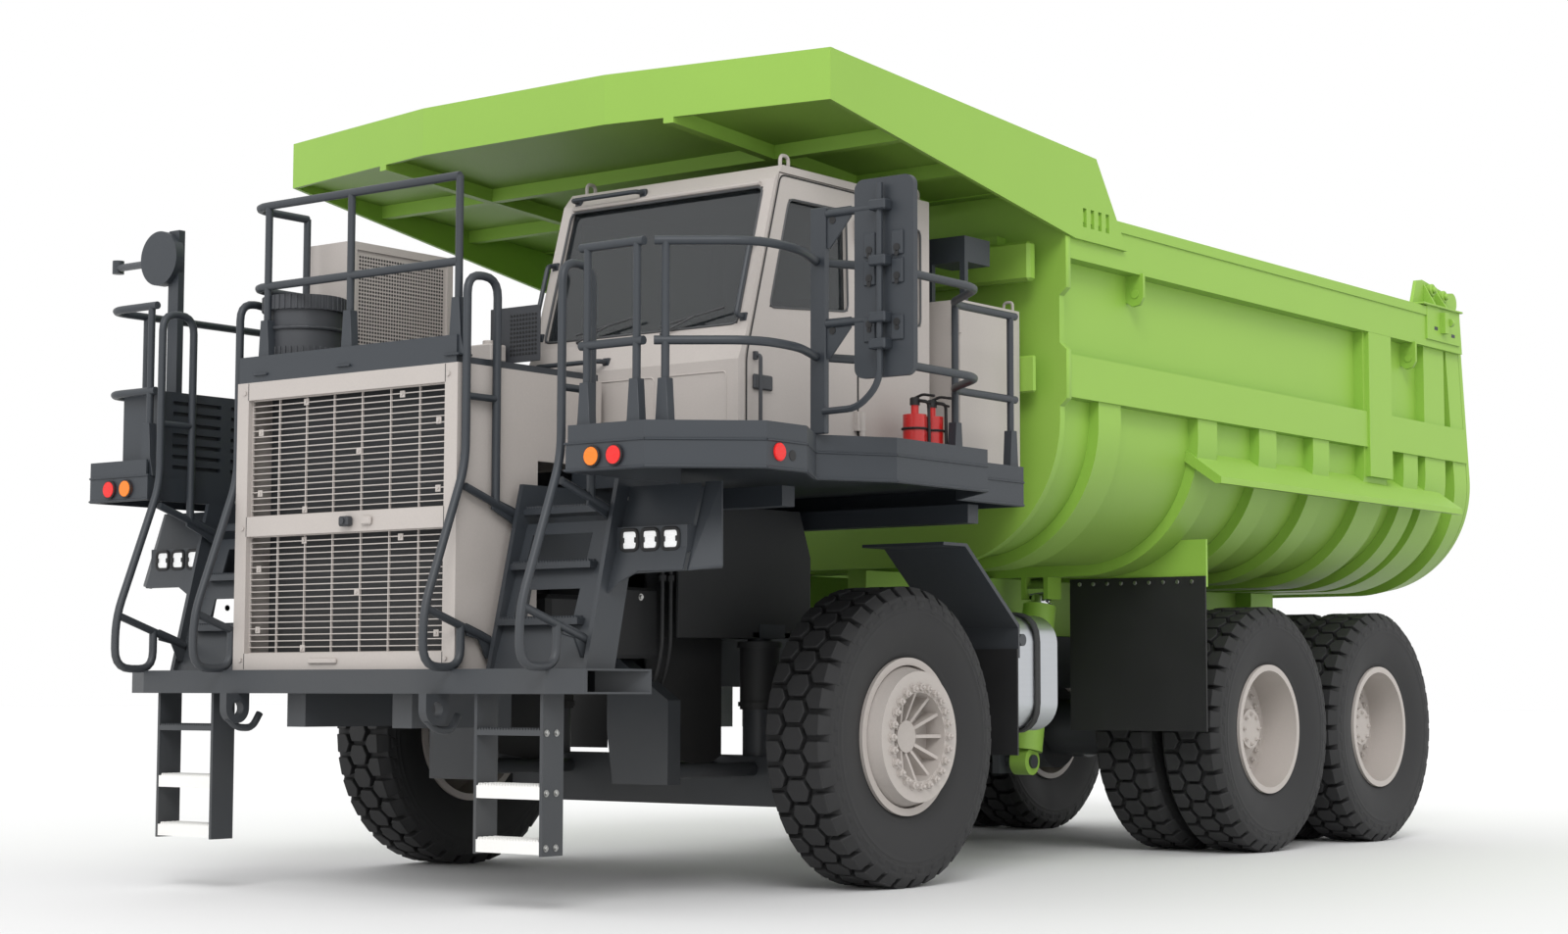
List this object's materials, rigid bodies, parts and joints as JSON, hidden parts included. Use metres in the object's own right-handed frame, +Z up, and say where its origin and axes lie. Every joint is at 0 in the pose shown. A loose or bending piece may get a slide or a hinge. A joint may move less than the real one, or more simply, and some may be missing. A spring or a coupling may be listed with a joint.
{
  "type": "mining dump truck",
  "caption": "Wide-body rigid mining dump truck with a hoisting dump body, canopy over the cab, twin rear wheels, stairs and railed decks.",
  "frame": {"origin": "on the ground, at the middle of the box round the whole truck, which is its middle plane within 60 mm", "axes": "+Z up, front towards -Y, the truck's left side at +X"},
  "size_m": [6.451, 11.5457, 5.045],
  "materials": {
    "slate_paint": "satin",
    "beige_paint": "satin",
    "lime_paint": "satin",
    "black_iron": "matte",
    "tyre_rubber": "matte",
    "flap_rubber": "matte",
    "white_tread": "satin",
    "tank_metal": "brushed",
    "dark_glass": "polished",
    "lamp_glass": "polished",
    "red_lens": "polished",
    "amber_lens": "polished",
    "red_paint": "gloss",
    "dark_plastic": "matte",
    "bright_steel": "polished"
  },
  "bodies": {
    "chassis": {"chassis_frame": "slate_paint", "front_bumper": "slate_paint", "stairs": "slate_paint", "ladder_treads": "white_tread", "stair_hoops": "slate_paint", "radiator_housing": "beige_paint", "radiator_grilles": "beige_paint", "radiator_core": "black_iron", "engine_block": "black_iron", "upper_deck": "slate_paint", "deck_rails": "slate_paint", "air_cleaner": "dark_plastic", "cooling_cabinet": "beige_paint", "deck_left": "slate_paint", "deck_right": "slate_paint", "louvre_cabinet": "slate_paint", "rear_cabinet": "beige_paint", "signal_box": "slate_paint", "fire_extinguishers": "red_paint", "headlamps": "lamp_glass", "red_lamps": "red_lens", "amber_lamps": "amber_lens", "cab_shell": "beige_paint", "cab_glass": "dark_glass", "cab_interior": "dark_plastic", "mirrors": "slate_paint", "side_tanks": "tank_metal", "front_fenders": "slate_paint", "front_flaps": "flap_rubber", "front_axle": "slate_paint", "suspension": "slate_paint", "rear_axles": "slate_paint"},
    "cab_door": {"cab_door": "beige_paint", "door_glass": "dark_glass"},
    "knuckle_left": {"knuckle_left": "slate_paint"},
    "knuckle_right": {"knuckle_right": "slate_paint"},
    "tie_rod": {"tie_rod": "slate_paint"},
    "wheel_front_left": {"tyre_front_left": "tyre_rubber", "rim_front_left": "beige_paint"},
    "wheel_front_right": {"tyre_front_right": "tyre_rubber", "rim_front_right": "beige_paint"},
    "wheel_mid_left": {"tyres_mid_left": "tyre_rubber", "rims_mid_left": "beige_paint"},
    "wheel_mid_right": {"tyres_mid_right": "tyre_rubber", "rims_mid_right": "beige_paint"},
    "wheel_rear_left": {"tyres_rear_left": "tyre_rubber", "rims_rear_left": "beige_paint"},
    "wheel_rear_right": {"tyres_rear_right": "tyre_rubber", "rims_rear_right": "beige_paint"},
    "dump_body": {"body_trough": "lime_paint", "body_headboard": "lime_paint", "body_canopy": "lime_paint", "body_bearers": "lime_paint", "body_flaps": "flap_rubber"},
    "tailgate": {"tailgate": "lime_paint"},
    "hoist_barrels": {"hoist_barrels": "lime_paint"},
    "hoist_stage_1": {"hoist_stage_1": "bright_steel"},
    "hoist_stage_2": {"hoist_stage_2": "bright_steel"},
    "hoist_stage_3": {"hoist_stage_3": "bright_steel"}
  },
  "joints": [
    {"name": "steer_left", "type": "hinge", "parent": "chassis", "child": "knuckle_left", "pos_m": [1.4, -2.6093, 0.9375], "axis": [0, 0, 1], "range_deg": [-32, 32]},
    {"name": "steer_right", "type": "hinge", "parent": "chassis", "child": "knuckle_right", "pos_m": [-1.4, -2.6093, 0.9375], "axis": [0, 0, 1], "range_deg": [-32, 32]},
    {"name": "tie_rod_turn", "type": "hinge", "parent": "knuckle_left", "child": "tie_rod", "pos_m": [1.4, -2.2393, 0.6475], "axis": [0, 0, 1], "range_deg": [-32, 32]},
    {"name": "wheel_front_left_spin", "type": "hinge", "parent": "knuckle_left", "child": "wheel_front_left", "pos_m": [1.88, -2.6093, 0.9375], "axis": [1, 0, 0], "continuous": true},
    {"name": "wheel_front_right_spin", "type": "hinge", "parent": "knuckle_right", "child": "wheel_front_right", "pos_m": [-1.88, -2.6093, 0.9375], "axis": [1, 0, 0], "continuous": true},
    {"name": "wheel_mid_left_spin", "type": "hinge", "parent": "chassis", "child": "wheel_mid_left", "pos_m": [1.59, 2.2357, 0.9375], "axis": [1, 0, 0], "continuous": true},
    {"name": "wheel_mid_right_spin", "type": "hinge", "parent": "chassis", "child": "wheel_mid_right", "pos_m": [-1.59, 2.2357, 0.9375], "axis": [1, 0, 0], "continuous": true},
    {"name": "wheel_rear_left_spin", "type": "hinge", "parent": "chassis", "child": "wheel_rear_left", "pos_m": [1.59, 4.18569, 0.9375], "axis": [1, 0, 0], "continuous": true},
    {"name": "wheel_rear_right_spin", "type": "hinge", "parent": "chassis", "child": "wheel_rear_right", "pos_m": [-1.59, 4.18569, 0.9375], "axis": [1, 0, 0], "continuous": true},
    {"name": "cab_door_swing", "type": "hinge", "parent": "chassis", "child": "cab_door", "pos_m": [1.98, -2.95438, 3.48], "axis": [0, 0, 1], "range_deg": [0, 45]},
    {"name": "body_hoist", "type": "hinge", "parent": "chassis", "child": "dump_body", "pos_m": [0, 4.8407, 1.77], "axis": [-1, 0, 0], "range_deg": [0, 45]},
    {"name": "tailgate_swing", "type": "hinge", "parent": "dump_body", "child": "tailgate", "pos_m": [0, 5.42709, 4.59342], "axis": [1, 0, 0], "range_deg": [0, 70]},
    {"name": "hoist_tilt", "type": "hinge", "parent": "chassis", "child": "hoist_barrels", "pos_m": [0, 0.6407, 0.7], "axis": [-1, 0, 0], "range_deg": [0, 10.29]},
    {"name": "hoist_slide_1", "type": "slide", "parent": "hoist_barrels", "child": "hoist_stage_1", "axis": [0, 0.1903, 0.9817], "range_m": [0, 0.99943]},
    {"name": "hoist_slide_2", "type": "slide", "parent": "hoist_stage_1", "child": "hoist_stage_2", "axis": [0, 0.1903, 0.9817], "range_m": [0, 0.99943]},
    {"name": "hoist_slide_3", "type": "slide", "parent": "hoist_stage_2", "child": "hoist_stage_3", "axis": [0, 0.1903, 0.9817], "range_m": [0, 0.99943]}
  ],
  "couplings": [
    {"joint": "steer_right", "follows": "steer_left", "ratio": 1},
    {"joint": "tie_rod_turn", "follows": "steer_left", "ratio": -1},
    {"joint": "hoist_tilt", "follows": "body_hoist", "ratio": 0.22842},
    {"joint": "hoist_slide_1", "follows": "body_hoist", "m_per_rad": 1.2723},
    {"joint": "hoist_slide_2", "follows": "body_hoist", "m_per_rad": 1.2723},
    {"joint": "hoist_slide_3", "follows": "body_hoist", "m_per_rad": 1.2723}
  ]
}
